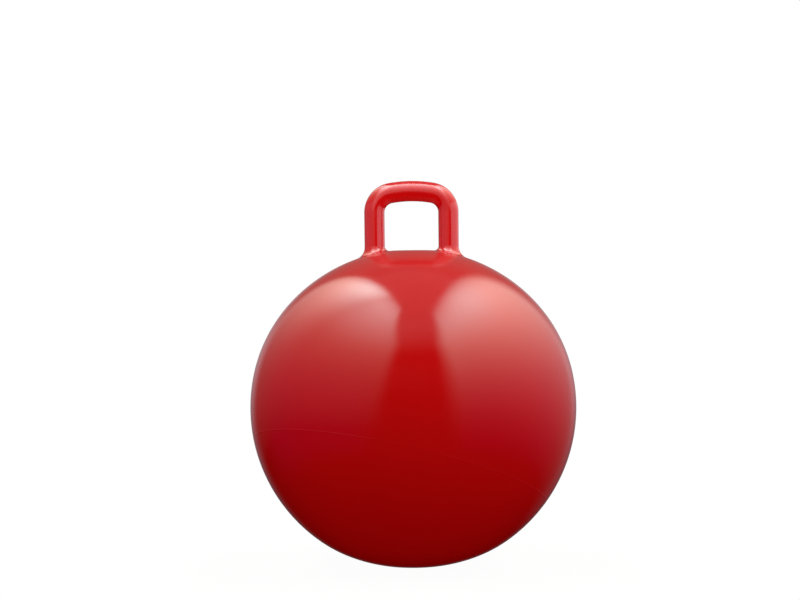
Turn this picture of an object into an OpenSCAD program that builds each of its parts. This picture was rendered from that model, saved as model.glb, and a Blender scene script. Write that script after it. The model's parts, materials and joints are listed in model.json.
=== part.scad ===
// Hopper ball: an inflated skin, a hollow loop handle on its crown and a push-in valve plug at the back.
// Frame: +Z up, X across the handle, +Y to the back, and the origin at the centre of the flat patch
// that the ball rests on.

/* [Ball] */
// Diameter of the inflated ball at its equator
ball_d = 450; // [400:5:650]
// Wall of the moulded skin
skin_t = 1.3; // [0.8:0.1:2.5]
// How much lower the uncut crown lies than on a round ball
crown_flat = 6.5; // [2:0.5:12]
// How much longer the crown's radius is than the ball's
crown_extra = 7.5; // [4:0.5:40]
// Radius of the flat on the crown, between the handle's feet
crown_patch_r = 28; // [10:1:30]
// How much higher the uncut base lies than on a round ball
base_flat = 3.7; // [1:0.1:8]
// How much longer the base's radius is than the ball's
base_extra = 50; // [10:1:100]
// Radius of the flat patch that the ball rests on
patch_r = 36; // [20:1:60]

/* [Parting line] */
// Tilt of the mould's parting plane from level
parting_tilt = 20; // [0:1:30]
// Direction that the plane's upper side leans to, turned from +X towards the back
parting_turn = 50; // [0:1:359]
// How far the plane lies below the ball's centre, along its own normal
parting_drop = 92; // [40:1:120]
// Height of the flash line on the skin
parting_h = 0.4; // [0.2:0.1:1]
// Width of the flash line
parting_w = 1.4; // [0.8:0.1:3]

/* [Handle] */
// Outer diameter of the handle's tube
tube_d = 28; // [22:1:34]
// Wall of the handle's tube
tube_t = 2; // [1.2:0.1:4]
// Distance between the two legs' axes
leg_spacing = 102; // [80:1:130]
// Height of the handle's top above the crown
handle_h = 95.4; // [80:0.2:130]
// Bend radius of the two corners, at the tube's centre line
corner_r = 27; // [22:1:36]
// Radius of the top bar's arch, at the tube's centre line
bar_r = 172; // [120:2:400]
// Radius of a foot's flare on the side away from the other leg
flare_out_r = 17; // [6:0.5:20]
// Radius of a foot's flare on the side of the other leg
flare_in_r = 6; // [3:0.5:12]
// Thickness of the flare's lip where it ends on the skin
lip_t = 0.4; // [0.2:0.1:1]

/* [Valve] */
// Angle of the valve's axis from upright, towards the back
valve_tilt = 32; // [24:1:42]
// Bore of the valve seat
bore_d = 8; // [6:0.5:11]
// Wall of the seat's sleeve round the bore
sleeve_t = 3; // [2:0.5:5]
// Length of the bore below the head's recess
bore_l = 16; // [12:1:24]
// Width of the seat's welding flange round its hub
flange_w = 8; // [4:0.5:12]
// Thickness of the welding flange
flange_t = 2.2; // [1.2:0.1:4]
// Width of the hub's rim round the plug's head
rim_w = 2.6; // [1.5:0.1:5]
// Radius of the thumbnail scoop in the rim
scoop_r = 3.2; // [2:0.2:5]

/* [Plug] */
// Diameter of the plug's head
head_d = 16; // [13:0.5:20]
// Thickness of the plug's head
head_t = 2.6; // [1.6:0.2:4]
// Bevel round the head's top edge
head_bevel = 0.7; // [0.2:0.1:1.2]
// Length of the plug's stem below its head
stem_l = 15; // [10:1:20]
// Number of sealing ribs on the stem
rib_count = 3; // [1:1:5]
// Height of a sealing rib over the stem
rib_h = 0.6; // [0.3:0.1:1]
// Taper length of the stem's tip
tip_l = 3; // [1:0.5:5]
// Bore of the stem's moulded core
core_d = 3.4; // [2:0.2:4.4]

/* [Fits] */
// Running clearance of the stem's ribs in the bore, on the radius
stem_clearance = 0.05; // [0.02:0.01:0.1]
// Gap round the plug's head in its recess, and under it
head_clearance = 0.3; // [0.2:0.1:0.8]
// Gap between pieces that are welded to the skin
weld_clearance = 0.05; // [0.02:0.01:0.2]

/* [Hidden] */
$fn = 96;
skin_colour = "crimson";
plug_colour = "ivory";

// Every cut runs this far past what it cuts
overrun = 1;

// The ball is the space that three spheres share between the floor and the crown's flat
ball_r = ball_d / 2;
crown_r = ball_r + crown_extra;
base_r = ball_r + base_extra;
base_centre_z = sqrt(base_r * base_r - patch_r * patch_r);
equator_z = base_centre_z - base_flat - base_extra;
crown_centre_z = equator_z - crown_flat - crown_extra;
crown_z = crown_centre_z + sqrt(crown_r * crown_r - crown_patch_r * crown_patch_r);

// The handle's centre line: two legs, two corners and an arched bar that are tangent to each other
tube_r = tube_d / 2;
hollow_r = tube_r - tube_t;
leg_x = leg_spacing / 2;
corner_x = leg_x - corner_r;
corner_rise = sqrt(pow(bar_r - corner_r, 2) - corner_x * corner_x);
bar_centre_z = crown_z + handle_h - tube_r - bar_r;
corner_z = bar_centre_z + corner_rise;
corner_angle = atan2(corner_rise, corner_x);

// How finely the handle is swept
tube_sides = 32;
corner_steps = 9;
bar_steps = 5;
hollow_corner_steps = 6;
flare_steps = 7;
seat_steps = 3;
side_angles = [for (i = [0 : tube_sides - 1]) 360 * i / tube_sides];

// The valve, measured along its axis from the skin's outer face
recess_r = head_d / 2 + head_clearance;
recess_depth = head_t + head_clearance;
hub_r = recess_r + rim_w;
flange_r = hub_r + flange_w;
bore_r = bore_d / 2;
sleeve_r = bore_r + sleeve_t;
rib_r = bore_r - stem_clearance;
stem_r = rib_r - rib_h;
tip_r = stem_r - rib_h;
rib_pitch = (stem_l - tip_l) / (rib_count + 1);

// The ball's closed form, drawn in by an even wall
module ball_form(inset) {
  intersection() {
    translate([0, 0, equator_z]) sphere(r = ball_r - inset);
    translate([0, 0, crown_centre_z]) sphere(r = crown_r - inset);
    translate([0, 0, base_centre_z]) sphere(r = base_r - inset);
    translate([0, 0, inset]) cylinder(r = ball_r - inset + overrun, h = crown_z - 2 * inset);
  }
}

// The thin raised line that the mould's two halves leave round the ball
module parting_line() {
  intersection() {
    difference() {
      ball_form(-parting_h);
      ball_form(skin_t / 2);
    }
    translate([0, 0, equator_z])
      rotate([0, parting_tilt, parting_turn])
        translate([0, 0, -parting_drop - parting_w / 2])
          cylinder(r = ball_r + overrun, h = parting_w);
  }
}

// Children stand on the skin's outer face at the valve, with +Z along the plug's way out
module at_valve() {
  translate([0, 0, crown_centre_z])
    rotate([-valve_tilt, 0, 0])
      translate([0, 0, crown_r])
        children();
}

// A cylinder that hangs down the valve's axis from a given height
module valve_post(r, top, bottom) {
  translate([0, 0, bottom]) cylinder(r = r, h = top - bottom);
}

module ball_skin() {
  color(skin_colour) {
    difference() {
      ball_form(0);
      ball_form(skin_t);
      for (side = [-1, 1])
        translate([side * leg_x, 0, crown_centre_z]) cylinder(r = hollow_r, h = crown_r + overrun);
      at_valve() valve_post(hub_r + weld_clearance, overrun, -flange_r);
    }
    parting_line();
  }
}

// Ring of the handle's tube where its outward direction has turned to an angle from +X
function on_corner(a) = a < corner_angle || a > 180 - corner_angle;
function loop_centre(a) = on_corner(a) ? [sign(cos(a)) * corner_x, corner_z] : [0, bar_centre_z];
function loop_radius(a) = on_corner(a) ? corner_r : bar_r;
function tube_ring(a, r) = [
  for (phi = side_angles)
    let (centre = loop_centre(a), reach = loop_radius(a) + r * cos(phi))
      [centre[0] + reach * cos(a), r * sin(phi), centre[1] + reach * sin(a)]
];

// The turns at which the loop has a ring, from the left leg over the bar to the right leg
function loop_angles(corner_count, bar_count) = concat(
  [for (i = [0 : corner_count]) 180 - corner_angle * i / corner_count],
  [for (i = [1 : bar_count - 1]) 180 - corner_angle - (180 - 2 * corner_angle) * i / bar_count],
  [for (i = [0 : corner_count]) corner_angle * (1 - i / corner_count)]
);

// A point beside a leg: its direction round the leg, its distance from the leg's axis and its height
function beside_leg(side, phi, reach, z) = [side * (leg_x + reach * cos(phi)), reach * sin(phi), z];

// Height of a sphere about the crown's centre, beside a leg
function seat_height(phi, reach, r) =
  crown_centre_z + sqrt(r * r - pow(leg_x + reach * cos(phi), 2) - pow(reach * sin(phi), 2));

// A foot's flare is an arc that is tangent to the leg and to the lip's sphere, in each upright plane
// through the leg's axis. It starts on the leg at share 0 and ends on the lip at share 1.
lip_r = crown_r + lip_t;
function flare_r(phi) = (flare_out_r + flare_in_r) / 2 + (flare_out_r - flare_in_r) / 2 * cos(phi);
function flare_section_r(phi) = sqrt(lip_r * lip_r - pow(leg_x * sin(phi), 2));
function flare_centre(phi) =
  let (
    reach = tube_r + flare_r(phi),
    rise = sqrt(pow(flare_section_r(phi) + flare_r(phi), 2) - pow(reach + leg_x * cos(phi), 2))
  )
    [reach, crown_centre_z + rise];
function flare_end_angle(phi) =
  360 + atan2(crown_centre_z - flare_centre(phi)[1], -leg_x * cos(phi) - flare_centre(phi)[0]);
function flare_point(phi, share) =
  let (a = 180 + share * (flare_end_angle(phi) - 180))
    flare_centre(phi) + flare_r(phi) * [cos(a), sin(a)];
function flare_ring(side, share) = [
  for (phi = side_angles)
    let (p = flare_point(phi, share)) beside_leg(side, phi, p[0], p[1])
];

// The foot's underside lies on the skin, from the lip at share 0 to the hollow at share 1
function seat_ring(side, share) = [
  for (phi = side_angles)
    let (reach = flare_point(phi, 1)[0] * (1 - share) + hollow_r * share)
      beside_leg(side, phi, reach, seat_height(phi, reach, crown_r + weld_clearance))
];

// The loop's whole surface is one closed row of rings: over the outside, under the right foot,
// back through the hollow and under the left foot
loop_rings = concat(
  [for (i = [flare_steps : -1 : 0]) flare_ring(-1, i / flare_steps)],
  [for (a = loop_angles(corner_steps, bar_steps)) tube_ring(a, tube_r)],
  [for (i = [0 : flare_steps]) flare_ring(1, i / flare_steps)],
  [for (i = [0 : seat_steps]) seat_ring(1, i / seat_steps)],
  [for (a = loop_angles(hollow_corner_steps, bar_steps)) tube_ring(180 - a, hollow_r)],
  [for (i = [seat_steps : -1 : 0]) seat_ring(-1, i / seat_steps)]
);

module handle_loop() {
  count = len(loop_rings);
  color(skin_colour)
    polyhedron(
      points = [for (ring = loop_rings, p = ring) p],
      faces = [
        for (i = [0 : count - 1], j = [0 : tube_sides - 1])
          let (
            here = i * tube_sides,
            next = (i + 1) % count * tube_sides,
            k = (j + 1) % tube_sides
          )
            each [[here + j, here + k, next + k], [here + j, next + k, next + j]]
      ]
    );
}

// Half outline of the area between two spheres about the crown's centre, seen from the valve
module crown_band(outer_inset, inner_inset, reach) {
  intersection() {
    translate([0, -crown_r])
      difference() {
        circle(r = crown_r - outer_inset);
        circle(r = crown_r - inner_inset);
      }
    translate([0, -flange_r]) square([reach, flange_r + overrun]);
  }
}

// Half outline of the seat: a hub flush with the skin, a welding flange under it and a sleeve
module seat_outline() {
  weld_inset = skin_t + weld_clearance;
  sleeve_low = -recess_depth - bore_l;
  difference() {
    union() {
      crown_band(0, recess_depth + flange_t, hub_r);
      crown_band(weld_inset, weld_inset + flange_t, flange_r);
      translate([0, sleeve_low]) square([sleeve_r, bore_l]);
    }
    translate([0, -recess_depth]) square([recess_r, recess_depth + overrun]);
    translate([0, sleeve_low - overrun]) square([bore_r, bore_l + 2 * overrun]);
  }
}

module valve_seat() {
  color(skin_colour)
    at_valve()
      difference() {
        rotate_extrude() seat_outline();
        translate([hub_r - rim_w / 2, 0, scoop_r / 2]) sphere(r = scoop_r);
      }
}

// Half outline of the plug: head, ribbed stem and tapered tip, with the head's top at zero
module plug_outline() {
  head_r = head_d / 2;
  head_low = -head_t;
  tip_z = -head_t - stem_l;
  polygon(concat(
    [[0, 0], [head_r - head_bevel, 0], [head_r, -head_bevel], [head_r, head_low], [stem_r, head_low]],
    [
      for (i = [1 : rib_count])
        let (z = head_low - i * rib_pitch)
          each [[stem_r, z + rib_h], [rib_r, z + rib_h / 2], [rib_r, z - rib_h / 2], [stem_r, z - rib_h]]
    ],
    [[stem_r, tip_z + tip_l], [tip_r, tip_z], [0, tip_z]]
  ));
}

module valve_plug() {
  color(plug_colour)
    at_valve()
      difference() {
        rotate_extrude() plug_outline();
        valve_post(core_d / 2, -head_t, -head_t - stem_l - overrun);
      }
}

ball_skin();
handle_loop();
valve_seat();
valve_plug();
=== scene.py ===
import json
import math

import bmesh
import bpy
import numpy as np
from mathutils import Matrix, Vector


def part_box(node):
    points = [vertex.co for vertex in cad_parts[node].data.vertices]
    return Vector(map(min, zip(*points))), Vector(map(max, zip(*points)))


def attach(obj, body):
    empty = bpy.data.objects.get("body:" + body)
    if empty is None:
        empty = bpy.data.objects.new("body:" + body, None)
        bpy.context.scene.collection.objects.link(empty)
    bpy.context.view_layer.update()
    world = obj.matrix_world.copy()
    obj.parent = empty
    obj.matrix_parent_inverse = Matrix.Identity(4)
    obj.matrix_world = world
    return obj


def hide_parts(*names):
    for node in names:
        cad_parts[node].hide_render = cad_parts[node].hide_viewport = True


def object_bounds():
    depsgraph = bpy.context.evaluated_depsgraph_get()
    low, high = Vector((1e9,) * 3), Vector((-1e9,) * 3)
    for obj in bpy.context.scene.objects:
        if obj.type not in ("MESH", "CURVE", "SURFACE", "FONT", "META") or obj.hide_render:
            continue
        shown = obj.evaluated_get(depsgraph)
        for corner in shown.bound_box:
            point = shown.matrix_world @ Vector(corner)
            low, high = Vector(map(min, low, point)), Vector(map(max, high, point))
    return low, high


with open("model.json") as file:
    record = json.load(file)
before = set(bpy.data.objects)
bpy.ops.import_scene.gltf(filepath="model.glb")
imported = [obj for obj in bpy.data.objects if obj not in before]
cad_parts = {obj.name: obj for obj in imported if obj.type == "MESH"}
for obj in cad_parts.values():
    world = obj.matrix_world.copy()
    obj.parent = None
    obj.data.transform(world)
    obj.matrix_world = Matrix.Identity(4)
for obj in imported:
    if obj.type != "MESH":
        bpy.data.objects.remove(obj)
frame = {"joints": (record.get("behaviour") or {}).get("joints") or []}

CAD_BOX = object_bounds()
FULL_TURN = 2 * math.pi

# The ball, in metres: three spheres, the floor and the crown's flat, melted into one another
CROWN_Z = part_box("ball_skin")[1].z
BALL_R = 0.225
SKIN_T = 0.0013
CROWN_FLAT = 0.0065
CROWN_EXTRA = 0.0075
CROWN_PATCH_R = 0.028
BASE_FLAT = 0.0037
BASE_EXTRA = 0.050
CROWN_R = BALL_R + CROWN_EXTRA
BASE_R = BALL_R + BASE_EXTRA
CROWN_CENTRE_Z = CROWN_Z - math.sqrt(CROWN_R ** 2 - CROWN_PATCH_R ** 2)
EQUATOR_Z = CROWN_CENTRE_Z + CROWN_FLAT + CROWN_EXTRA
BASE_CENTRE_Z = EQUATOR_Z + BASE_FLAT + BASE_EXTRA
FORM_MELT = 0.004
FLOOR_MELT = 0.003
CROWN_MELT = 0.001
LEAST_SLOPE = 1e-6
POLE_GAP = 1e-5
BALL_RINGS = 240
BALL_SIDES = 288
INNER_RINGS = 60
HOLE_EDGE_STEPS = 3

# The mould's parting line: a fine ridge in a tilted plane
PARTING_TILT = math.radians(20)
PARTING_TURN = math.radians(50)
PARTING_DROP = 0.092
PARTING_W = 0.0024
PARTING_H = 0.00015
PARTING_STEPS = 480
# Its section, in half widths across and heights above the skin, and the points where it leaves the skin
RIDGE_SECTION = ((-1, -0.6), (-0.5, 0.55), (0, 1), (0.5, 0.55), (1, -0.6), (0, -1.6))
RIDGE_EDGES = (0, 4)

# The hand loop: two legs, two corners, an arched bar and two flared feet
LOOP_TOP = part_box("handle_loop")[1].z
TUBE_R = 0.014
HOLLOW_R = 0.012
LEG_X = 0.051
CORNER_R = 0.027
BAR_R = 0.172
FLARE_OUT_R = 0.017
FLARE_IN_R = 0.006
FLARE_LIFT = 0.00003
FOOT_SUNK = 0.0006
LOOP_SIDES = 72
CORNER_STEPS = 26
BAR_STEPS = 16
FLARE_STEPS = 24
SEAT_STEPS = 3
CORNER_X = LEG_X - CORNER_R
CORNER_RISE = math.sqrt((BAR_R - CORNER_R) ** 2 - CORNER_X ** 2)
BAR_CENTRE_Z = LOOP_TOP - TUBE_R - BAR_R
CORNER_Z = BAR_CENTRE_Z + CORNER_RISE
CORNER_ANGLE = math.atan2(CORNER_RISE, CORNER_X)

# The valve, measured along its axis from the skin's outer face
VALVE_AXIS = Vector(frame["joints"][0]["axis"])
VALVE_TILT = math.atan2(VALVE_AXIS.y, VALVE_AXIS.z)
HEAD_R = 0.008
HEAD_T = 0.0026
HEAD_GAP = 0.0003
RIM_W = 0.0026
RECESS_R = HEAD_R + HEAD_GAP
RECESS_DEPTH = HEAD_T + HEAD_GAP
HUB_R = RECESS_R + RIM_W
WELD_GAP = 0.00005
FLANGE_W = 0.008
FLANGE_R = HUB_R + FLANGE_W
FLANGE_T = 0.0022
BORE_R = 0.004
BORE_L = 0.016
SLEEVE_T = 0.003
SLEEVE_R = BORE_R + SLEEVE_T
SCOOP_R = 0.0032
SCOOP_X = HUB_R - RIM_W / 2
SCOOP_Z = SCOOP_R / 2
WALL_SHARE = 0.6
EDGE_R = 0.0005
LATHE_SIDES = 160
RIM_STEPS = 15
FLANGE_STEPS = 5
ARC_POINTS = 5

# The plug: head with a gate mark, ribbed stem and moulded core
HEAD_BEVEL = 0.0007
HEAD_DOME = 0.00015
GATE_R = 0.0012
GATE_DEPTH = 0.0003
GATE_FLOOR_R = GATE_R * 0.7
GATE_LIP_R = GATE_R * 1.2
GATE_LIP_DROP = 0.00005
STEM_L = 0.015
STEM_GAP = 0.00005
RIB_H = 0.0006
RIB_R = BORE_R - STEM_GAP
STEM_R = RIB_R - RIB_H
RIB_HALF = 0.0006
RIB_TURN = 80
RIB_COUNT = 3
TIP_L = 0.003
TIP_R = STEM_R - RIB_H
CORE_R = 0.0017
AXIS_GAP = 0.0001
HEAD_STEPS = 8
BEVEL_POINTS = 7
FILLET_POINTS = 4
RIB_POINTS = 7

# The plastics: a noise is its scale and detail, a sheen a roughness, a grain its strength and depth
PVC_LOOK = {
    "clouds": (9.0, 3.0), "patches": (30.0, 4.0), "grain": (700.0, 2.0),
    "strength": 0.02, "depth": 0.0002, "ior": 1.75,
}
PLUG_LOOK = {
    "clouds": (300.0, 3.0), "patches": (500.0, 3.0), "grain": (3000.0, 2.0),
    "strength": 0.15, "depth": 0.0001, "ior": 1.5,
}
PATCH_RANGE = (0.3, 0.7)
SKIN_RED = (0.64, 0.007, 0.008)
SEAT_RED = (0.58, 0.009, 0.008)
CLOUD_SHARES = (0.96, 1.04)
SKIN_GLOSS = 0.1
SEAT_GLOSS = 0.16
SHEEN_SHARES = (0.8, 1.25)
CROWN_DULL = 0.265
DULL_REACH = (0.065, 0.14)
PLUG_DARK = (0.76, 0.73, 0.66, 1)
PLUG_PALE = (0.83, 0.81, 0.75, 1)
PLUG_SHEEN = (0.34, 0.48)

# The studio, in degrees and in radiance where 1 is white; a pair is the range over which something fades.
# A panel's light grows with the height over its foot, which sinks from the front to the rear.
RIGHT_PANEL = {
    "side": 1, "face": 79, "lean": 0.01, "front": (19.1, 36.1), "back": (147, 163), "steep": (1.54, 5.0),
    "level": 0.97, "power": 2.65, "haze": 0.165, "rear": (40, 150), "foot": (-18, -32), "rear_share": 1.17,
}
LEFT_PANEL = {
    "side": -1, "face": 73.3, "lean": 0.17, "front": (18.6, 30.6), "back": (152, 162), "steep": (2.84, 8.2),
    "level": 0.48, "power": 4.1, "haze": 0.335, "rear": (95, 154), "foot": (-11, -16), "rear_share": 4.0,
}
LEAST_AHEAD = 0.02
LEAN_TOP = math.radians(50)
TOP_FLARE = 0.5
CEILING_LEVEL = 0.34
CEILING_RISE = (39, 66)
WALL_LEVEL = 0.2
WALL_TURN = (141, 161)
WALL_RISE = (-28, 8)
SKYLINE_LEVEL = 0.2
SKYLINE_RISE = math.radians(4)
SKYLINE_FADE = (0, 14.5)
LOW_TINT = (1, 0.97, 1.07, 1)
HIGH_TINT = (1, 1, 0.87, 1)
TOP_TINT = (0.74, 1, 0.95, 1)
WHITE = (1, 1, 1, 1)
TINT_RISE = (-10, 32)
COOL_RISE = (40, 66)
GLOW_COLOUR = (0.6, 0.05, 1.0, 1)
GLOW_LEVEL = 0.055
GLOW_FRONT = (22, 46)
GLOW_BACK = (100, 140)
GLOW_FOOT = (-34, -13)
GLOW_TOP = (15, 46)

# Fill lamps: name, azimuth, elevation and level, where 1 makes a white surface that faces the lamp white
FILLS = (("front_fill", 0, 25, 0.2), ("top_fill", -45, 58, 0.13), ("right_fill", 85, 25, 0.055))
FILL_DISTANCE = 3.0
FILL_W = 3.0
FILL_H = 1.0
FILL_COLOUR = (1.0, 0.33, 0.33)

# Lamps for the loop alone: azimuth, elevation, distance, width, height, radiance and colour
LAMP_WHITE = (1, 1, 1)
LAMP_RED = (1.0, 0.3, 0.3)
LOOP_LAMPS = {
    "near_left": (-62, 0, 1.5, 6.2, 1.2, 0.26, LAMP_WHITE),
    "near_right": (90, 0, 1.5, 5.1, 1.2, 0.75, LAMP_WHITE),
    "near_top": (0, 45, 1.0, 1.8, 2.3, 8.5, LAMP_WHITE),
    "near_front": (0, 28, 2.0, 1.0, 1.0, 2.4, LAMP_RED),
}
# How the lamp over the loop fades, in shares of its height and width
FADE_POWER = 2.7
FADE_LEAST = 0.05
FADE_FOOT = (0.08, 0.16)
FADE_TOP = (0.85, 0.98)
FADE_ENDS = (0.25, 0.5)

# The floor: its shadow and its bounce, with the distances over which they change
FLOOR_HALF = 30.0
SHADOW_SHARE = 0.03
SHADOW_REACH = (0.25, 0.6)
PAPER_LIGHT = 0.9
BOUNCE_NEAR = 0.38
BOUNCE_FAR = 0.58
BOUNCE_REACH = (0.25, 1.0)
BOUNCE_COLOUR = (1.0, 0.15, 0.15, 1)

# The camera, at the photograph's framing
LENS = 85
SENSOR = 36
CAMERA_DISTANCE = 2.6145
CAMERA_RISE = math.radians(3)
CAMERA_ROLL = math.radians(-0.6)
CAMERA_SHIFT = (-0.0163, 0.0919)


def smooth_least(a, b, reach):
    """The lesser of two distances, rounded off where they come within reach of each other."""
    mix = np.maximum(reach - np.abs(a - b), 0) / reach
    return np.minimum(a, b) - mix * mix * reach / 4


def sphere_reach(start, ways, centre, radius):
    """How far each way runs from start, inside a sphere, to the sphere's face."""
    offset = np.asarray(centre) - start
    along = ways @ offset
    return along + np.sqrt(along * along - offset @ offset + radius * radius)


def ball_reach(start, ways):
    """How far each way runs from a point inside the ball to its outer face."""
    reach = sphere_reach(start, ways, (0, 0, EQUATOR_Z), BALL_R)
    crown = sphere_reach(start, ways, (0, 0, CROWN_CENTRE_Z), CROWN_R)
    base = sphere_reach(start, ways, (0, 0, BASE_CENTRE_Z), BASE_R)
    floor = start[2] / np.maximum(-ways[..., 2], LEAST_SLOPE)
    top = (CROWN_Z - start[2]) / np.maximum(ways[..., 2], LEAST_SLOPE)
    reach = smooth_least(reach, crown, FORM_MELT)
    reach = smooth_least(reach, base, FORM_MELT)
    reach = smooth_least(reach, floor, FLOOR_MELT)
    return smooth_least(reach, top, CROWN_MELT)


def faces_out(mesh):
    """Turns a closed mesh's faces outwards."""
    shape = bmesh.new()
    shape.from_mesh(mesh)
    bmesh.ops.recalc_face_normals(shape, faces=shape.faces)
    shape.to_mesh(mesh)
    shape.free()


def ring_piece(name, rings, sharp_rings=(), sharp_sides=()):
    """A closed smooth piece over a row of rings with equal counts, where the last ring joins the first.

    Edges round a sharp ring, and those from ring to ring along a sharp side, stay sharp.
    """
    count, sides = len(rings), len(rings[0])
    points = [tuple(p) for ring in rings for p in ring]
    faces = []
    for i in range(count):
        here, there = i * sides, (i + 1) % count * sides
        for j in range(sides):
            k = (j + 1) % sides
            faces.append((here + j, here + k, there + k, there + j))
    mesh = bpy.data.meshes.new(name)
    mesh.from_pydata(points, [], faces)
    mesh.validate()
    mesh.shade_smooth()
    for edge in mesh.edges:
        a, b = edge.vertices
        around = a // sides == b // sides and a // sides in sharp_rings
        along = a % sides == b % sides and a % sides in sharp_sides
        edge.use_edge_sharp = around or along
    faces_out(mesh)
    piece = bpy.data.objects.new(name, mesh)
    bpy.context.scene.collection.objects.link(piece)
    return piece


def dressed(piece, material, body, slot, *nodes):
    """Gives a piece its material and its body, and hides the solids that it stands for. The slot is not
    used.
    """
    piece.data.materials.append(material)
    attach(piece, body)
    if nodes:
        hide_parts(*nodes)
    return piece


def polar_ways(angle):
    """Unit directions at an angle from the valve's axis, all round it."""
    turns = np.linspace(0, FULL_TURN, BALL_SIDES, endpoint=False)
    flat = np.sin(angle)
    ways = np.stack([flat * np.cos(turns), flat * np.sin(turns), np.full_like(turns, np.cos(angle))], -1)
    return ways @ np.array(Matrix.Rotation(-VALVE_TILT, 3, "X")).T


def skin_ring(angle, inset):
    """Ring of the skin at an angle from the valve's axis, drawn in from the outer face."""
    start = np.array((0, 0, CROWN_CENTRE_Z))
    ways = polar_ways(angle)
    reach = ball_reach(start, ways) - inset
    return start + ways * reach[:, None]


def make_skin():
    """The blown-up skin: the rounded edge of the valve's hole, the outside and the inside."""
    hole = math.asin((HUB_R + WELD_GAP) / CROWN_R)
    edge = EDGE_R / CROWN_R
    rings = []
    for a in np.linspace(0, math.pi / 2, HOLE_EDGE_STEPS + 1):
        rings.append(skin_ring(hole + edge * (1 - math.cos(a)), EDGE_R * (1 - math.sin(a))))
    outside = np.linspace(hole + edge, math.pi, BALL_RINGS + 1)[1:-1]
    rings += [skin_ring(a, 0) for a in outside]
    rings.append(skin_ring(math.pi - POLE_GAP, 0))
    rings.append(skin_ring(math.pi - POLE_GAP, SKIN_T))
    inside = np.linspace(math.pi, hole, INNER_RINGS + 1)[1:]
    rings += [skin_ring(a, SKIN_T) for a in inside]
    return ring_piece("skin", rings)


def parting_point(turn, offset):
    """A point of the ball's face in the parting plane, moved along the plane's normal by an offset."""
    lean = np.array(Matrix.Rotation(PARTING_TURN, 3, "Z") @ Matrix.Rotation(PARTING_TILT, 3, "Y"))
    start = np.array((0, 0, EQUATOR_Z)) + lean @ np.array((0, 0, offset - PARTING_DROP))
    way = lean @ np.array((math.cos(turn), math.sin(turn), 0))
    return start + way * ball_reach(start, way[None])[0]


def make_parting_ridge():
    """A low rounded ridge right round the skin, with its edges sunk into it."""
    middle = np.array((0, 0, EQUATOR_Z))
    rings = []
    for turn in np.linspace(0, FULL_TURN, PARTING_STEPS, endpoint=False):
        ring = []
        for across, rise in RIDGE_SECTION:
            point = parting_point(turn, across * PARTING_W / 2)
            way = (point - middle) / np.linalg.norm(point - middle)
            ring.append(point + way * rise * PARTING_H)
        rings.append(ring)
    return ring_piece("parting_ridge", rings, sharp_sides=RIDGE_EDGES)


def side_angles():
    """The directions round the loop's tube, from its outer side."""
    return np.linspace(0, FULL_TURN, LOOP_SIDES, endpoint=False)


def tube_ring(turn, radius):
    """Ring of the loop where its outward direction has turned to an angle from +X."""
    phi = side_angles()
    centre, bend = (0, BAR_CENTRE_Z), BAR_R
    if turn < CORNER_ANGLE:
        centre, bend = (CORNER_X, CORNER_Z), CORNER_R
    if turn > math.pi - CORNER_ANGLE:
        centre, bend = (-CORNER_X, CORNER_Z), CORNER_R
    reach = bend + radius * np.cos(phi)
    x = centre[0] + reach * math.cos(turn)
    z = centre[1] + reach * math.sin(turn)
    return np.stack([x, radius * np.sin(phi), z], -1)


def loop_turns():
    """The turns with a ring, from the left leg over the bar to the right leg."""
    left = np.linspace(math.pi, math.pi - CORNER_ANGLE, CORNER_STEPS + 1)
    bar = np.linspace(math.pi - CORNER_ANGLE, CORNER_ANGLE, BAR_STEPS + 1)[1:-1]
    right = np.linspace(CORNER_ANGLE, 0, CORNER_STEPS + 1)
    return np.concatenate([left, bar, right])


def beside_leg(side, phi, reach, z):
    """Points beside a leg: their directions round it, distances from its axis and heights."""
    return np.stack([side * (LEG_X + reach * np.cos(phi)), reach * np.sin(phi), z], -1)


def flare_ring(side, share):
    """Ring of a foot's flare: an arc tangent to the leg at share 0 and to the skin at share 1."""
    phi = side_angles()
    seat_r = CROWN_R + FLARE_LIFT
    bend = (FLARE_OUT_R + FLARE_IN_R) / 2 + (FLARE_OUT_R - FLARE_IN_R) / 2 * np.cos(phi)
    section_r = np.sqrt(seat_r ** 2 - (LEG_X * np.sin(phi)) ** 2)
    centre_x = TUBE_R + bend
    centre_rise = np.sqrt((section_r + bend) ** 2 - (centre_x + LEG_X * np.cos(phi)) ** 2)
    last = FULL_TURN + np.arctan2(-centre_rise, -LEG_X * np.cos(phi) - centre_x)
    angle = math.pi + share * (last - math.pi)
    reach = centre_x + bend * np.cos(angle)
    return beside_leg(side, phi, reach, CROWN_CENTRE_Z + centre_rise + bend * np.sin(angle))


def seat_ring(side, share):
    """Ring of a foot's underside, sunk in the skin, from the toe to the hollow."""
    phi = side_angles()
    toe = flare_ring(side, 1)
    toe_reach = np.hypot(toe[:, 0] - side * LEG_X, toe[:, 1])
    reach = toe_reach * (1 - share) + HOLLOW_R * share
    flat = (LEG_X + reach * np.cos(phi)) ** 2 + (reach * np.sin(phi)) ** 2
    return beside_leg(side, phi, reach, CROWN_CENTRE_Z + np.sqrt((CROWN_R - FOOT_SUNK) ** 2 - flat))


def make_loop():
    """The hollow loop: outside, right foot's underside, hollow and left foot's underside."""
    steps = np.linspace(0, 1, FLARE_STEPS + 1)
    seats = np.linspace(0, 1, SEAT_STEPS + 1)
    rings = [flare_ring(-1, s) for s in steps[::-1]]
    rings += [tube_ring(a, TUBE_R) for a in loop_turns()]
    rings += [flare_ring(1, s) for s in steps]
    last = len(rings) - 1
    rings += [seat_ring(1, s) for s in seats]
    rings += [tube_ring(math.pi - a, HOLLOW_R) for a in loop_turns()]
    rings += [seat_ring(-1, s) for s in seats[::-1]]
    return ring_piece("loop", rings, sharp_rings=(0, last))


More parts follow.
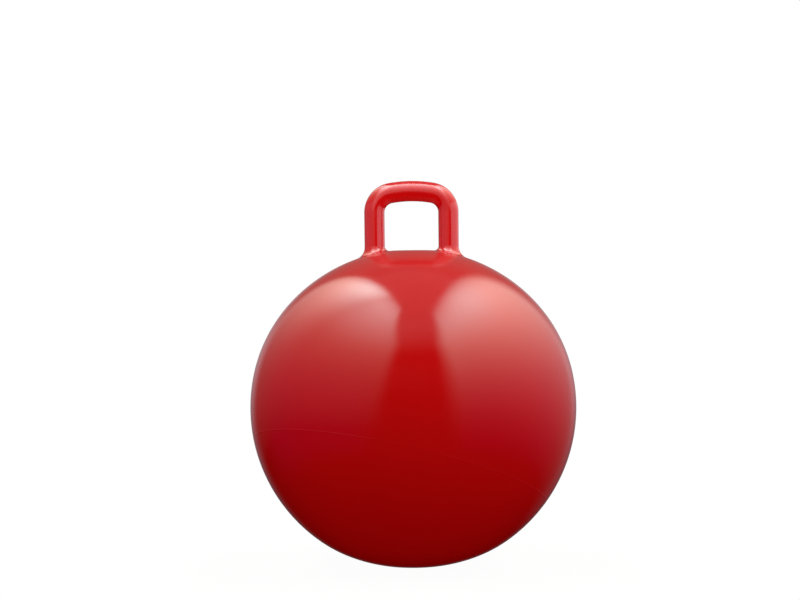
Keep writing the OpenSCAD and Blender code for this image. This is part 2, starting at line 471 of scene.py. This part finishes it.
def arc(centre, radius, first, last, points=ARC_POINTS):
    """Points of an arc in a half outline, its angles in degrees from straight out."""
    angles = np.radians(np.linspace(first, last, points))
    return [(centre[0] + radius * math.cos(a), centre[1] + radius * math.sin(a)) for a in angles]


def crown_drop(reach, inset=0.0):
    """Height of the skin's sphere beside the valve's axis, drawn in by an inset."""
    return math.sqrt((CROWN_R - inset) ** 2 - reach * reach) - CROWN_R


def lathe_rings(outline):
    """Rings of a turned piece: each point of its half outline, taken right round the axis."""
    turns = np.linspace(0, FULL_TURN, LATHE_SIDES, endpoint=False)
    across, along = np.cos(turns), np.sin(turns)
    return [np.stack([r * across, r * along, np.full_like(turns, z)], -1) for r, z in outline]


def valve_piece(name, rings):
    """A turned piece at the valve, with +Z of its rings along the plug's way out."""
    piece = ring_piece(name, rings)
    centre = Matrix.Translation((0, 0, CROWN_CENTRE_Z))
    turn = Matrix.Rotation(-VALVE_TILT, 4, "X")
    piece.data.transform(centre @ turn @ Matrix.Translation((0, 0, CROWN_R)))
    return piece


def seat_outline():
    """Half outline of the valve seat, from the recess up, over the rim and down round the sleeve."""
    floor = -RECESS_DEPTH
    low = floor - BORE_L
    under = SKIN_T + WELD_GAP
    rim_in, rim_out = RECESS_R + EDGE_R, HUB_R - EDGE_R
    rim = np.linspace(rim_in, rim_out, RIM_STEPS + 1)[1:-1]
    flange_top = np.linspace(HUB_R, FLANGE_R - EDGE_R, FLANGE_STEPS + 1)
    flange_foot = np.linspace(FLANGE_R, HUB_R, FLANGE_STEPS + 1)
    outline = arc((BORE_R + EDGE_R, floor - EDGE_R), EDGE_R, 180, 90)
    outline += arc((RECESS_R - EDGE_R, floor + EDGE_R), EDGE_R, -90, 0)
    outline += [(RECESS_R, floor * WALL_SHARE)]
    outline += arc((rim_in, crown_drop(rim_in) - EDGE_R), EDGE_R, 180, 90)
    outline += [(r, crown_drop(r)) for r in rim]
    outline += arc((rim_out, crown_drop(rim_out) - EDGE_R), EDGE_R, 90, 0)
    outline += [(r, crown_drop(r, under)) for r in flange_top]
    outline += [(FLANGE_R, crown_drop(FLANGE_R, under + EDGE_R))]
    outline += [(r, crown_drop(r, under + FLANGE_T)) for r in flange_foot]
    outline += [(SLEEVE_R + EDGE_R, floor - FLANGE_T), (SLEEVE_R, floor - FLANGE_T - EDGE_R)]
    outline += arc((SLEEVE_R - EDGE_R, low + EDGE_R), EDGE_R, 0, -90)
    outline += arc((BORE_R + EDGE_R, low + EDGE_R), EDGE_R, -90, -180)
    return outline


def scooped(rings):
    """Sinks the rim where the thumbnail scoop is."""
    for ring in rings:
        gap = np.hypot(ring[:, 0] - SCOOP_X, ring[:, 1])
        depth = SCOOP_Z - np.sqrt(np.maximum(SCOOP_R ** 2 - gap ** 2, 0))
        inside = (gap < SCOOP_R) & (ring[:, 2] > -RECESS_DEPTH / 2)
        ring[inside, 2] = np.minimum(ring[inside, 2], depth[inside])
    return rings


def make_valve_seat():
    return valve_piece("valve_seat_ring", scooped(lathe_rings(seat_outline())))


def rib_outline(z):
    """A rounded sealing rib whose middle lies at a height."""
    crest_r = RIB_HALF / 2
    crest = arc((RIB_R - crest_r, z), crest_r, RIB_TURN, -RIB_TURN, RIB_POINTS)
    return [(STEM_R, z + RIB_HALF), *crest, (STEM_R, z - RIB_HALF)]


def plug_outline():
    """Half outline of the plug, from the gate mark on its head down to the tip and up the core."""
    tip_z = -HEAD_T - STEM_L
    pitch = (STEM_L - TIP_L) / (RIB_COUNT + 1)
    bevel_r = HEAD_R - HEAD_BEVEL
    face = np.linspace(GATE_LIP_R, bevel_r, HEAD_STEPS + 1)[1:-1]
    outline = [(AXIS_GAP, -GATE_DEPTH), (GATE_FLOOR_R, -GATE_DEPTH)]
    outline += [(GATE_R, -GATE_LIP_DROP), (GATE_LIP_R, 0)]
    outline += [(r, -HEAD_DOME * (r / HEAD_R) ** 2) for r in face]
    outline += arc((bevel_r, -HEAD_DOME - HEAD_BEVEL), HEAD_BEVEL, 90, 0, BEVEL_POINTS)
    outline += arc((HEAD_R - EDGE_R / 2, -HEAD_T + EDGE_R / 2), EDGE_R / 2, 0, -90, FILLET_POINTS)
    outline += arc((STEM_R + EDGE_R, -HEAD_T - EDGE_R), EDGE_R, 90, 180, FILLET_POINTS)
    for i in range(1, RIB_COUNT + 1):
        outline += rib_outline(-HEAD_T - i * pitch)
    outline += [(STEM_R, tip_z + TIP_L), (TIP_R + EDGE_R / 4, tip_z + EDGE_R), (TIP_R - EDGE_R / 2, tip_z)]
    outline += [(CORE_R, tip_z), (CORE_R, -HEAD_T - EDGE_R), (AXIS_GAP, -HEAD_T)]
    return outline


def make_plug():
    return valve_piece("push_in_plug", lathe_rings(plug_outline()))


def node_tree(owner):
    """The emptied node tree of a material, world or lamp."""
    owner.use_nodes = True
    owner.node_tree.nodes.clear()
    return owner.node_tree


def add_node(tree, kind, inputs=None, **settings):
    """A node with its settings and inputs; an input is a value or another node's output."""
    node = tree.nodes.new(kind)
    for name, value in settings.items():
        setattr(node, name, value)
    for key, value in (inputs or {}).items():
        if isinstance(value, bpy.types.NodeSocket):
            tree.links.new(value, node.inputs[key])
        else:
            node.inputs[key].default_value = value
    return node


def reckon(tree, operation, *values):
    """The output of a Math node."""
    return add_node(tree, "ShaderNodeMath", dict(enumerate(values)), operation=operation).outputs[0]


def product(tree, first, *others):
    """The output of Math nodes that multiply all the values."""
    for value in others:
        first = reckon(tree, "MULTIPLY", first, value)
    return first


def total(tree, first, *others):
    """The output of Math nodes that add all the values."""
    for value in others:
        first = reckon(tree, "ADD", first, value)
    return first


def mixed(tree, share, first, second):
    """A number that runs from the first to the second as a share goes from 0 to 1."""
    return add_node(tree, "ShaderNodeMix", {0: share, 2: first, 3: second}).outputs[0]


def mixed_colour(tree, share, first, second):
    """A colour that runs from the first to the second as a share goes from 0 to 1."""
    return add_node(tree, "ShaderNodeMix", {0: share, 6: first, 7: second}, data_type="RGBA").outputs[2]


def eased(tree, value, low, high, to_low=0.0, to_high=1.0):
    """A smooth step from one level to another as a value goes from low to high."""
    inputs = {0: value, 1: low, 2: high, 3: to_low, 4: to_high}
    node = add_node(tree, "ShaderNodeMapRange", inputs, interpolation_type="SMOOTHSTEP")
    return node.outputs[0]


def eased_angle(tree, angle, low, high, to_low=0.0, to_high=1.0):
    """A smooth step like eased, between two angles in degrees."""
    return eased(tree, angle, math.radians(low), math.radians(high), to_low, to_high)


def noise(tree, place, scale, detail):
    """The output of a Noise Texture node, from 0 to 1."""
    inputs = {"Vector": place, "Scale": scale, "Detail": detail}
    return add_node(tree, "ShaderNodeTexNoise", inputs).outputs["Fac"]


def crown_sheen(tree, place, sheen):
    """The skin's sheen, made duller on the crown round the feet of the loop."""
    along = add_node(tree, "ShaderNodeSeparateXYZ", {0: place}).outputs
    squares = total(tree, reckon(tree, "POWER", along[0], 2.0), reckon(tree, "POWER", along[1], 2.0))
    near = eased(tree, reckon(tree, "SQRT", squares), *DULL_REACH, 1.0, 0.0)
    high = reckon(tree, "GREATER_THAN", along[2], EQUATOR_Z)
    return mixed(tree, product(tree, near, high), sheen, CROWN_DULL)


def moulded(name, dark, pale, sheen, look, crown=False):
    """A moulded plastic: faint clouds in its colour, an uneven sheen and a fine grain."""
    material = bpy.data.materials.new(name)
    tree = node_tree(material)
    place = add_node(tree, "ShaderNodeTexCoord").outputs["Object"]
    roughness = eased(tree, noise(tree, place, *look["patches"]), *PATCH_RANGE, *sheen)
    if crown:
        roughness = crown_sheen(tree, place, roughness)
    grain = add_node(tree, "ShaderNodeBump", {
        "Height": noise(tree, place, *look["grain"]),
        "Strength": look["strength"],
        "Distance": look["depth"],
    })
    shader = add_node(tree, "ShaderNodeBsdfPrincipled", {
        "Base Color": mixed_colour(tree, noise(tree, place, *look["clouds"]), dark, pale),
        "Roughness": roughness,
        "IOR": look["ior"],
        "Normal": grain.outputs[0],
    })
    add_node(tree, "ShaderNodeOutputMaterial", {"Surface": shader.outputs[0]})
    return material


def pvc_material(name, red, gloss, crown=False):
    """Soft glossy red PVC."""
    dark, pale = ((*[c * share for c in red], 1) for share in CLOUD_SHARES)
    sheen = [gloss * share for share in SHEEN_SHARES]
    return moulded(name, dark, pale, sheen, PVC_LOOK, crown)


def plug_material():
    """Satin off-white polyethylene."""
    return moulded("plug_polyethylene", PLUG_DARK, PLUG_PALE, PLUG_SHEEN, PLUG_LOOK)


def panel_shape(tree, way, turn, elevation, panel):
    """Share of a panel's light by its outline: a straight top edge, a leaning front side and a back side."""
    face = math.radians(panel["face"])
    ahead = total(tree, product(tree, way[0], panel["side"] * math.sin(face)),
                  product(tree, way[1], -math.cos(face)))
    steep = reckon(tree, "DIVIDE", way[2], reckon(tree, "MAXIMUM", ahead, LEAST_AHEAD))
    top = eased(tree, steep, *panel["steep"], 1.0, 0.0)
    up = reckon(tree, "MINIMUM", reckon(tree, "MAXIMUM", elevation, 0.0), LEAN_TOP)
    over = reckon(tree, "MAXIMUM", reckon(tree, "SUBTRACT", elevation, LEAN_TOP), 0.0)
    leant = total(tree, turn, product(tree, up, panel["lean"]), product(tree, over, -TOP_FLARE))
    front = eased_angle(tree, leant, *panel["front"])
    back = eased_angle(tree, turn, *panel["back"], 1.0, 0.0)
    return product(tree, top, front, back)


def panel_light(tree, way, azimuth, elevation, panel):
    """Radiance of a tall soft panel beside the ball, brightest just under its straight top edge."""
    turn = product(tree, azimuth, panel["side"])
    feet = [math.radians(angle) for angle in panel["foot"]]
    foot = eased_angle(tree, turn, *panel["rear"], *feet)
    height = reckon(tree, "MAXIMUM", reckon(tree, "SUBTRACT", elevation, foot), 0.0)
    level = eased_angle(tree, turn, *panel["rear"], panel["level"], panel["level"] * panel["rear_share"])
    strength = product(tree, reckon(tree, "POWER", height, panel["power"]), level)
    strength = total(tree, strength, product(tree, height, panel["haze"]))
    return product(tree, panel_shape(tree, way, turn, elevation, panel), strength)


def wall_light(tree, azimuth, elevation):
    """Radiance of the pale wall behind the ball, with a brighter band at the skyline."""
    behind = eased_angle(tree, reckon(tree, "ABSOLUTE", azimuth), *WALL_TURN)
    wall = eased_angle(tree, elevation, *WALL_RISE, 0.0, WALL_LEVEL)
    off = reckon(tree, "ABSOLUTE", reckon(tree, "SUBTRACT", elevation, SKYLINE_RISE))
    skyline = eased_angle(tree, off, *SKYLINE_FADE, SKYLINE_LEVEL, 0.0)
    return product(tree, behind, total(tree, wall, skyline))


def side_glow(tree, azimuth, elevation):
    """Radiance of the faint violet light low down on both sides."""
    turn = reckon(tree, "ABSOLUTE", azimuth)
    front = eased_angle(tree, turn, *GLOW_FRONT)
    back = eased_angle(tree, turn, *GLOW_BACK, 1.0, 0.0)
    foot = eased_angle(tree, elevation, *GLOW_FOOT)
    top = eased_angle(tree, elevation, *GLOW_TOP, GLOW_LEVEL, 0.0)
    return product(tree, front, back, foot, top)


def studio_light(tree, way, azimuth, elevation):
    """Radiance of the two panels and of the grey ceiling or the wall behind."""
    panels = [panel_light(tree, way, azimuth, elevation, panel) for panel in (RIGHT_PANEL, LEFT_PANEL)]
    ceiling = eased_angle(tree, elevation, *CEILING_RISE, 0.0, CEILING_LEVEL)
    backdrop = reckon(tree, "MAXIMUM", ceiling, wall_light(tree, azimuth, elevation))
    return total(tree, *panels, backdrop)


def studio_hue(tree, elevation):
    """Colour of that light: nearly white low down, a little yellow higher up and cool at the top."""
    hue = mixed_colour(tree, eased_angle(tree, elevation, *TINT_RISE), LOW_TINT, HIGH_TINT)
    return mixed_colour(tree, eased_angle(tree, elevation, *COOL_RISE), hue, TOP_TINT)


def make_studio():
    """The world: the studio's light and a faint glow at the sides, and plain white to the camera."""
    world = bpy.data.worlds.new("studio")
    bpy.context.scene.world = world
    tree = node_tree(world)
    turned = add_node(tree, "ShaderNodeTexCoord").outputs["Generated"]
    way = add_node(tree, "ShaderNodeSeparateXYZ", {0: turned}).outputs
    azimuth = reckon(tree, "ARCTAN2", way[0], product(tree, way[1], -1.0))
    elevation = reckon(tree, "ARCSINE", way[2])
    path = add_node(tree, "ShaderNodeLightPath").outputs
    seen = reckon(tree, "MAXIMUM", path["Is Camera Ray"], path["Is Transmission Ray"])
    level = mixed(tree, seen, studio_light(tree, way, azimuth, elevation), 1.0)
    hue = mixed_colour(tree, seen, studio_hue(tree, elevation), WHITE)
    light = add_node(tree, "ShaderNodeBackground", {"Color": hue, "Strength": level})
    glow_level = product(tree, reckon(tree, "SUBTRACT", 1.0, seen), side_glow(tree, azimuth, elevation))
    glow = add_node(tree, "ShaderNodeBackground", {"Color": GLOW_COLOUR, "Strength": glow_level})
    both = add_node(tree, "ShaderNodeAddShader", {0: light.outputs[0], 1: glow.outputs[0]})
    add_node(tree, "ShaderNodeOutputWorld", {"Surface": both.outputs[0]})


def make_lamp(name, centre, azimuth, elevation, distance, width, height, radiance, colour):
    """A rectangular lamp of even radiance that faces a point, in degrees from the camera's side."""
    turn, rise = math.radians(azimuth), math.radians(elevation)
    way = Vector((math.sin(turn) * math.cos(rise), -math.cos(turn) * math.cos(rise), math.sin(rise)))
    data = bpy.data.lights.new(name, "AREA")
    data.shape = "RECTANGLE"
    data.size, data.size_y = width, height
    data.energy = radiance * math.pi * width * height
    data.color = colour
    lamp = bpy.data.objects.new(name, data)
    bpy.context.scene.collection.objects.link(lamp)
    facing = way.to_track_quat("Z", "Y").to_matrix().to_4x4()
    lamp.matrix_world = Matrix.Translation(centre + way * distance) @ facing
    return lamp


def make_fills():
    """Weak reddish lamps that leave no reflection."""
    middle = (CAD_BOX[0] + CAD_BOX[1]) / 2
    for name, azimuth, elevation, level in FILLS:
        radiance = level * math.pi * FILL_DISTANCE ** 2 / (FILL_W * FILL_H)
        place = (azimuth, elevation, FILL_DISTANCE)
        lamp = make_lamp(name, middle, *place, FILL_W, FILL_H, radiance, FILL_COLOUR)
        lamp.visible_glossy = False


def make_loop_lamps(loop):
    """Lamps that light the loop alone: streaks on its legs and bar, and a red fill from the front."""
    reach = bpy.data.collections.new("near_lamps_reach")
    reach.objects.link(loop)
    middle = Vector((0, 0, (CROWN_Z + LOOP_TOP) / 2))
    lamps = {name: make_lamp(name, middle, *values) for name, values in LOOP_LAMPS.items()}
    for lamp in lamps.values():
        lamp.light_linking.receiver_collection = reach
    fade_lamp(lamps["near_top"])
    lamps["near_top"].visible_diffuse = False
    lamps["near_front"].visible_glossy = False


def fade_lamp(lamp):
    """Makes a lamp dim at its foot, bright towards its top and dark along the top edge and the ends."""
    tree = node_tree(lamp.data)
    spot = add_node(tree, "ShaderNodeNewGeometry").outputs["Parametric"]
    across, up = add_node(tree, "ShaderNodeSeparateXYZ", {0: spot}).outputs[:2]
    rise = total(tree, reckon(tree, "POWER", up, FADE_POWER), FADE_LEAST)
    foot = eased(tree, up, *FADE_FOOT)
    top = eased(tree, up, *FADE_TOP, 1.0, 0.0)
    off = reckon(tree, "ABSOLUTE", reckon(tree, "SUBTRACT", across, 0.5))
    ends = eased(tree, off, *FADE_ENDS, 1.0, 0.0)
    shader = add_node(tree, "ShaderNodeEmission", {"Strength": product(tree, rise, foot, top, ends)})
    add_node(tree, "ShaderNodeOutputLight", {"Surface": shader.outputs[0]})


def paper_shader(tree, far):
    """The floor as the camera sees it: white, but for a faint shadow near the ball."""
    share = SHADOW_SHARE
    paper = add_node(tree, "ShaderNodeBsdfDiffuse", {"Color": (share, share, share, 1)})
    lift = add_node(tree, "ShaderNodeEmission", {"Strength": 1 - share * PAPER_LIGHT})
    lit = add_node(tree, "ShaderNodeAddShader", {0: paper.outputs[0], 1: lift.outputs[0]})
    white = add_node(tree, "ShaderNodeEmission", {"Strength": 1.0})
    fade = eased(tree, far, *SHADOW_REACH)
    shown = add_node(tree, "ShaderNodeMixShader", {0: fade, 1: lit.outputs[0], 2: white.outputs[0]})
    return shown.outputs[0]


def floor_material():
    """A pale floor: paper to the camera, and a dim red bounce to the ball."""
    material = bpy.data.materials.new("floor_paper")
    material.cycles.emission_sampling = "NONE"
    tree = node_tree(material)
    place = add_node(tree, "ShaderNodeNewGeometry").outputs["Position"]
    far = add_node(tree, "ShaderNodeVectorMath", {0: place}, operation="LENGTH").outputs["Value"]
    path = add_node(tree, "ShaderNodeLightPath").outputs
    bounce = product(tree, path["Is Diffuse Ray"], eased(tree, far, *BOUNCE_REACH, BOUNCE_NEAR, BOUNCE_FAR))
    dim = add_node(tree, "ShaderNodeEmission", {"Color": BOUNCE_COLOUR, "Strength": bounce})
    looks = {0: path["Is Camera Ray"], 1: dim.outputs[0], 2: paper_shader(tree, far)}
    shader = add_node(tree, "ShaderNodeMixShader", looks)
    add_node(tree, "ShaderNodeOutputMaterial", {"Surface": shader.outputs[0]})
    return material


def make_floor():
    """A wide flat floor that the ball doesn't mirror."""
    corners = ((-1, -1), (1, -1), (1, 1), (-1, 1))
    mesh = bpy.data.meshes.new("floor")
    mesh.from_pydata([(x * FLOOR_HALF, y * FLOOR_HALF, 0) for x, y in corners], [], [(0, 1, 2, 3)])
    mesh.materials.append(floor_material())
    floor = bpy.data.objects.new("floor", mesh)
    floor.visible_glossy = False
    bpy.context.scene.collection.objects.link(floor)


def make_camera():
    """Looks at the middle of the object from the front, at the photograph's framing."""
    data = bpy.data.cameras.new("camera")
    data.lens, data.sensor_width = LENS, SENSOR
    data.shift_x, data.shift_y = CAMERA_SHIFT
    camera = bpy.data.objects.new("camera", data)
    bpy.context.scene.collection.objects.link(camera)
    aim = (CAD_BOX[0] + CAD_BOX[1]) / 2
    back = Vector((0, -math.cos(CAMERA_RISE), math.sin(CAMERA_RISE)))
    turn = (-back).to_track_quat("-Z", "Y").to_matrix().to_4x4()
    roll = Matrix.Rotation(CAMERA_ROLL, 4, "Z")
    camera.matrix_world = Matrix.Translation(aim + back * CAMERA_DISTANCE) @ turn @ roll
    bpy.context.scene.camera = camera


def make_object():
    """The ball's pieces, and the lamps that belong to its loop."""
    skin_red = pvc_material("skin_red_pvc", SKIN_RED, SKIN_GLOSS, crown=True)
    loop_red = pvc_material("loop_red_pvc", SKIN_RED, SKIN_GLOSS)
    seat_red = pvc_material("seat_red_pvc", SEAT_RED, SEAT_GLOSS)
    dressed(make_skin(), skin_red, "ball", "skin_pvc", "ball_skin")
    dressed(make_parting_ridge(), skin_red, "ball", "skin_pvc")
    loop = dressed(make_loop(), loop_red, "ball", "handle_pvc", "handle_loop")
    make_loop_lamps(loop)
    dressed(make_valve_seat(), seat_red, "ball", "seat_pvc", "valve_seat")
    dressed(make_plug(), plug_material(), "plug", "plug_plastic", "valve_plug")


bpy.context.scene.view_settings.view_transform = "Standard"
make_camera()
make_studio()
make_floor()
make_fills()
make_object()
